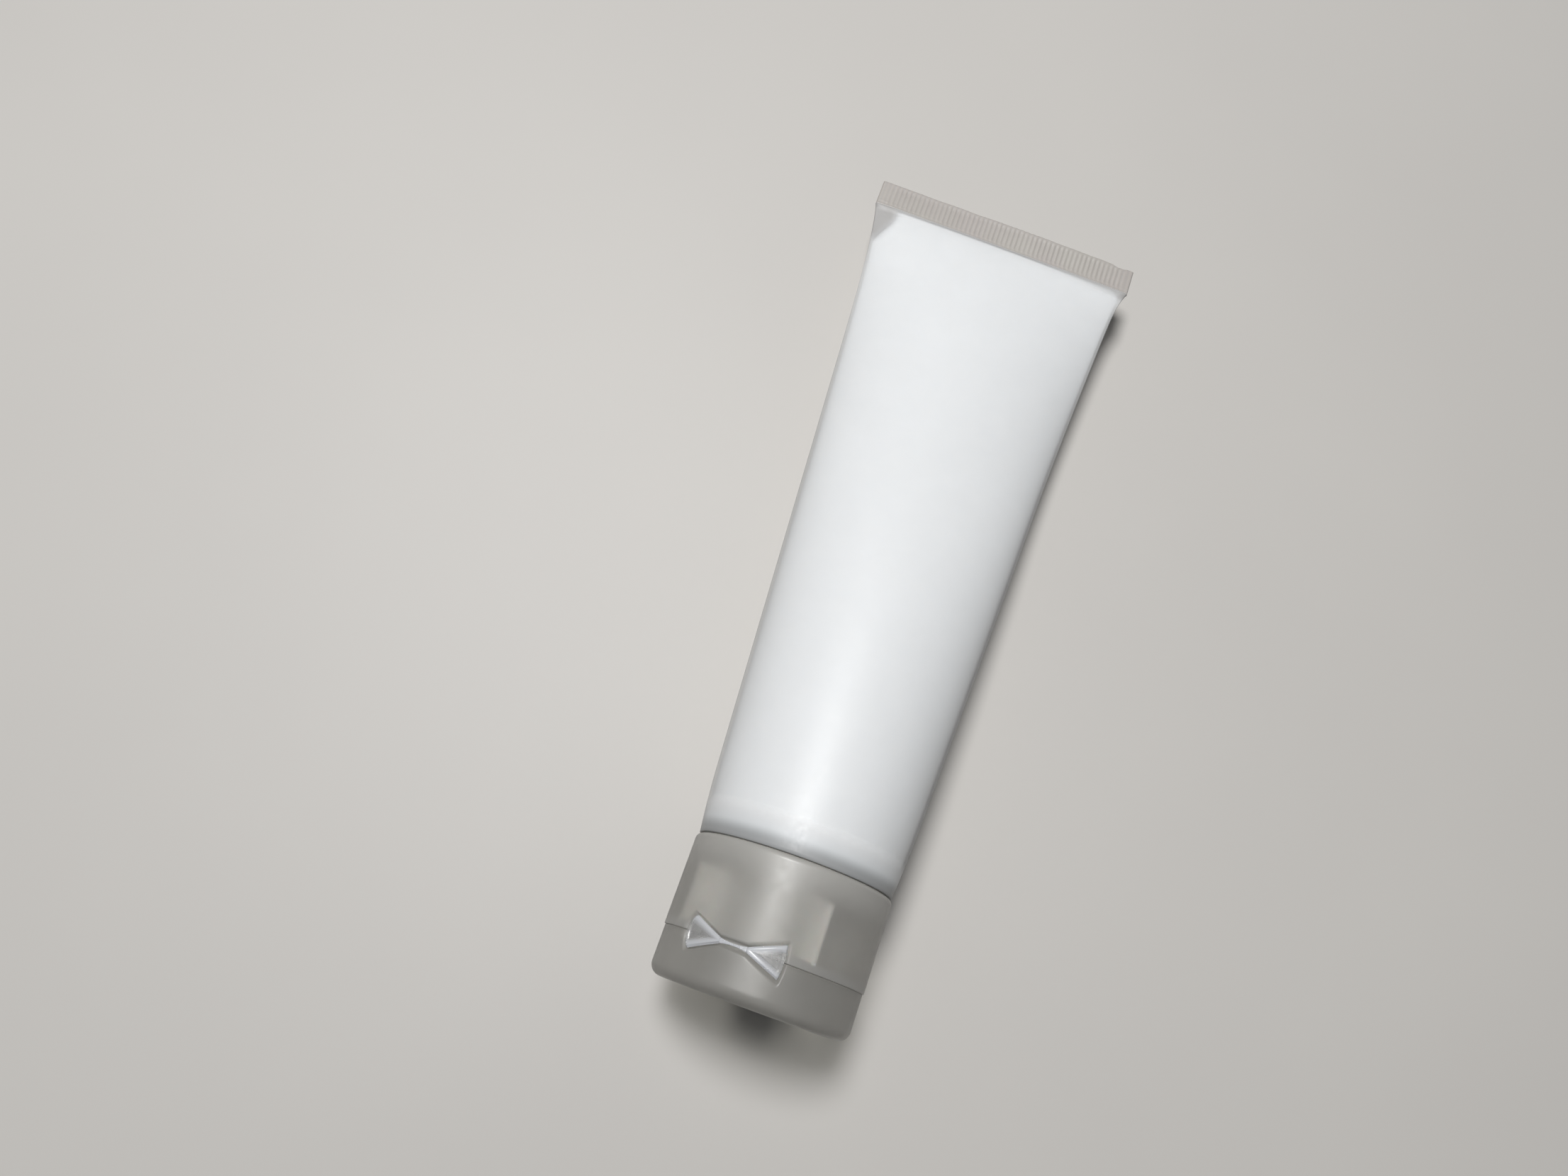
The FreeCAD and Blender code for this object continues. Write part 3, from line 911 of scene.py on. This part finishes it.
def make_lid(material):
    """Flip-top lid: rounded end, hinge pocket, and a thumb recess opposite the hinge."""
    inner = lid_radius - lid_wall
    outline = rounded([
        (0, lid_top, 0),
        (lid_radius, lid_top, 2.0),
        (lid_radius, lid_bottom, 0.14),
        (inner, lid_bottom, 0.15),
        (inner, lid_roof, 1.0),
        (0, lid_roof, 0),
    ], closed=False, steps=8)
    carved_from = inner + carve_margin
    pocket = carve_pocket(lid_radius, carved_from, lid_pocket_ramp)

    def carve(radius, angle, height):
        """Radius with the pocket and the thumb recess sunk into it."""
        across = lid_radius * (math.pi - abs(angle))
        scoop = scoop_depth * max(0.0, 1 - (across / scoop_half_width) ** 2)
        scoop *= 1 - smoothstep(2.0, 3.0, height - lid_bottom)
        share = max(0.0, (radius - carved_from) / (lid_radius - carved_from))
        return pocket(radius, angle, height) - scoop * share

    piece = lathe("flip_lid", divided(outline, closed=False), ring_angles(), carve, poles=True)
    finish_piece(piece, material, "lid", "cap_plastic", "cap_lid")


# ---- hinge ----------------------------------------------------------------------------------------
def flat_hinge_point(x, radius, height):
    """Point of the hinge from its place along the hinge line, its radius and its height."""
    return cap_point(radius, math.asin(x / radius), parting + height)


def strap_radius(from_edge, to_end):
    """Radius of a strap's outer face: bands with rounded edges, and a sunken panel between them."""
    round_off = 0.30 * (1 - smoothstep(0.0, 0.35, from_edge)) + 0.1 * (1 - smoothstep(0.0, 0.3, to_end))
    panel = smoothstep(0.55, 1.45, from_edge) * smoothstep(0.25, 0.6, to_end)
    return hinge_radius - round_off - strap_groove * panel


def strap_inner_radius(from_edge):
    """Radius of a strap's inner face."""
    return hinge_inner_radius + 0.25 * (1 - smoothstep(0.0, 0.3, from_edge))


def grid_rim(rows, columns):
    """Points round the outside of a grid, in order."""
    last_row = (rows - 1) * columns
    return (list(range(columns))
            + [row * columns + columns - 1 for row in range(1, rows)]
            + list(range(last_row + columns - 2, last_row - 1, -1))
            + [row * columns for row in range(rows - 2, 0, -1)])


def make_strap(side, name, body, node, material):
    """One wing of the bow tie, from the waist to its curved outer edge."""
    rows, columns = 37, 41
    start = waist_half_width + strap_gap
    bulge = left_bulge if side < 0 else right_bulge
    outer_points = []
    inner_points = []
    stress_and_highlight = []
    for row in range(rows):
        along = (row / (rows - 1)) ** 1.3
        tall = blend_values(waist_half_height, wing_half_height, along)
        to_end = (1 - along) * (wing_half_width - waist_half_width)
        for column in range(columns):
            even = 2 * column / (columns - 1) - 1
            across = blend_values(-math.cos(math.pi * (even + 1) / 2), even, 0.4)
            x = blend_values(start, wing_half_width, along) + bulge * along ** 2 * (1 - across ** 2)
            from_edge = (1 - abs(across)) * tall
            outer_points.append(flat_hinge_point(side * x, strap_radius(from_edge, to_end), across * tall))
            inner_points.append(flat_hinge_point(side * x, strap_inner_radius(from_edge), across * tall))
            # Lighter near a strap's edges: stress whitening along the fold, and painted highlight on the
            # bevelled bands.
            stress_and_highlight.append(1 - smoothstep(0.35, 1.4, from_edge))
    size = rows * columns
    outer = grid_faces(rows, columns, wrap_columns=False)
    faces = outer + [tuple(corner + size for corner in face) for face in outer]
    rim = grid_rim(rows, columns)
    for corner, beside in zip(rim, rim[1:] + rim[:1]):
        faces.append((corner, beside, beside + size, corner + size))
    piece = make_object(name, outer_points + inner_points, faces)
    add_attribute(piece, "stress_and_highlight", stress_and_highlight * 2)
    finish_piece(piece, material, body, "hinge_plastic", node)


def make_hinge_web(material):
    """The film at the bow tie's waist, between the base and the lid, where the hinge folds."""
    rows, around = 25, 20
    points = []
    for row in range(rows):
        x = (2 * row / (rows - 1) - 1) * waist_half_width
        slim = blend_values(web_slimness, 1.0, (x / waist_half_width) ** 2)
        for step in range(around):
            turn = 2 * math.pi * step / around
            height = waist_half_height * slim * math.cos(turn)
            half_thickness = 0.17 - 0.07 * math.exp(-(height / 0.15) ** 2)    # thinnest where it folds
            radius = hinge_radius - web_depth + half_thickness * math.sin(turn)
            points.append(flat_hinge_point(x, radius, height))
    faces = grid_faces(rows, around)
    faces.append(tuple(range(around)))
    faces.append(tuple(range((rows - 1) * around, rows * around)))
    piece = make_object("hinge_web", points, faces)
    # The whole web is lighter: stress whitening where it folds, and painted highlight.
    add_attribute(piece, "stress_and_highlight", [1.0] * len(points))
    piece.data.materials.append(material)
    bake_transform(piece)
    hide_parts("hinge_film")


# ---- CAD nodes that stay --------------------------------------------------------------------------
def dress_node(name, material):
    """Give a CAD node its material."""
    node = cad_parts[name]
    node.data.materials.clear()
    node.data.materials.append(material)


# ---- floor, light and camera ------------------------------------------------------------------------
def make_floor():
    """Plain pale floor."""
    half = 1.5
    corners = [(-half, -half, 0), (half, -half, 0), (half, half, 0), (-half, half, 0)]
    floor = make_object("floor", corners, [(0, 1, 2, 3)])
    material, shader = new_material("floor", 0.55)
    tree = material.node_tree
    tone = mix_color(tree, noise_field(tree, 12, 4), (0.52, 0.50, 0.475), (0.56, 0.54, 0.51))
    tree.links.new(tone, shader.inputs["Base Color"])
    floor.data.materials.append(material)


def make_window_light():
    """Soft round light, high up past the tail and to its left, aimed at the middle of the tube."""
    light = bpy.data.lights.new("window", "AREA")
    light.shape = "DISK"
    light.size = 0.27
    light.energy = 8.5
    lamp = bpy.data.objects.new("window", light)
    bpy.context.scene.collection.objects.link(lamp)
    lamp.location = (-0.19, 0.20, 0.90)
    lamp.rotation_euler = (-lamp.location).to_track_quat("-Z", "Y").to_euler()


def make_world():
    """Dim, slightly cool light from all round."""
    world = bpy.data.worlds.new("studio")
    world.use_nodes = True
    background = world.node_tree.nodes["Background"]
    background.inputs["Color"].default_value = (0.92, 0.96, 1.0, 1)
    background.inputs["Strength"].default_value = 0.11
    bpy.context.scene.world = world


def make_camera():
    """Camera at the photograph's angle: above the cap's end, looking down along the tube, rolled.
    Its place and lens are those that fit the tube's outline in the photograph."""
    camera = bpy.data.cameras.new("camera")
    camera.sensor_width = 36
    camera.lens = 28.48
    camera.clip_start = 0.01
    rig = bpy.data.objects.new("camera", camera)
    bpy.context.scene.collection.objects.link(rig)
    place = Vector((-18.1, -78.7, 231.3)) * MM
    aim = Vector((-17.95, -11.1, 17.5)) * MM
    roll = math.radians(-20.15)
    forward = (aim - place).normalized()
    level = forward.cross(Vector((0, 1, 0))).normalized()
    up = level.cross(forward)
    right = level * math.cos(roll) - up * math.sin(roll)
    up = right.cross(forward)
    rig.matrix_world = Matrix((
        (right.x, up.x, -forward.x, place.x),
        (right.y, up.y, -forward.y, place.y),
        (right.z, up.z, -forward.z, place.z),
        (0, 0, 0, 1),
    ))
    bpy.context.scene.camera = rig


# ---- put it together --------------------------------------------------------------------------------
make_floor()
make_world()
make_window_light()
make_camera()

cap_plastic = cap_material()
# Painted shade: the collar, spout and plug are moulded with the cap, but dark, standing in for the shade
# inside it.
inner_plastic_painted_shade = solid_plastic("inner_plastic_painted_shade", (0.24, 0.237, 0.23), (0.29, 0.287, 0.28), 0.30)
# Painted light: the ribs are moulded with the cap, but near-white so that one shows as a bright streak
# through the skirt, standing in for the highlight on its side.
rib_plastic_painted_light = solid_plastic("rib_plastic_painted_light", (0.86, 0.86, 0.86), (0.92, 0.92, 0.92), 0.35)
hinge_plastic = hinge_material()
head_plastic = solid_plastic("head_plastic", (0.42, 0.415, 0.40), (0.48, 0.475, 0.46), 0.45)
cream = cream_material()

make_sleeve(film_material(), inside_film_material())
make_cream(cream)
make_cream_in_neck(cream)
make_cap_base(cap_plastic)
make_ribs(rib_plastic_painted_light)
make_lid(cap_plastic)
make_strap(-1, "bow_left", "strap_left", "hinge_strap_left", hinge_plastic)
make_strap(1, "bow_right", "strap_right", "hinge_strap_right", hinge_plastic)
make_hinge_web(hinge_plastic)
dress_node("tube_head", head_plastic)
for inner_node in ("spout", "thread_collar", "lid_plug"):
    dress_node(inner_node, inner_plastic_painted_shade)

bpy.context.scene.view_settings.view_transform = "Standard"
